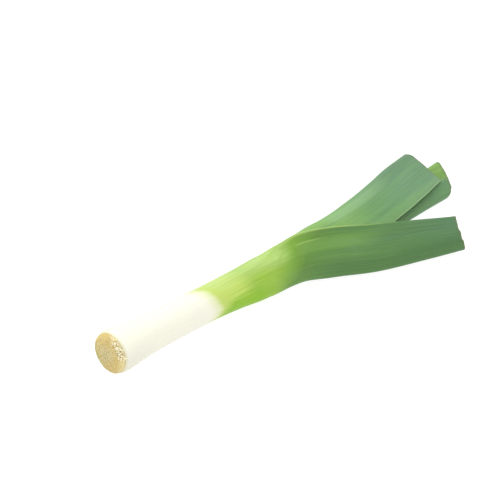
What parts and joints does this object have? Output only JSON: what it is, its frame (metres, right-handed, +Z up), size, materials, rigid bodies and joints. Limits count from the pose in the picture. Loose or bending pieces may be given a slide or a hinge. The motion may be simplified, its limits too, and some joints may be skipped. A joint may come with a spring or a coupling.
{
  "type": "leek",
  "caption": "Trimmed leek lying on its side: white shank of nested leaf sheaths on a root plate, opening into a fan of folded green leaves.",
  "frame": {"origin": "centre of the bounding box's footprint, on the surface the leek lies on", "axes": "+X along the leek from its root end to its leaf tips, +Y to its left seen from the root end, +Z up"},
  "size_m": [0.416, 0.1148, 0.041],
  "materials": {
    "root_plate": "dry, fibrous tan root plate with pale cut roots",
    "leaf_1": "satin waxy leaf, white sheath turning yellow green and then blue green",
    "leaf_2": "satin waxy leaf, light blue green blade",
    "leaf_3": "satin waxy leaf, dark green blade",
    "leaf_4": "satin young leaf, yellow green blade"
  },
  "bodies": {
    "root": {"root_plate": "root_plate", "leaf_1": "leaf_1", "leaf_2": "leaf_2", "leaf_3": "leaf_3", "leaf_4": "leaf_4"}
  },
  "joints": []
}
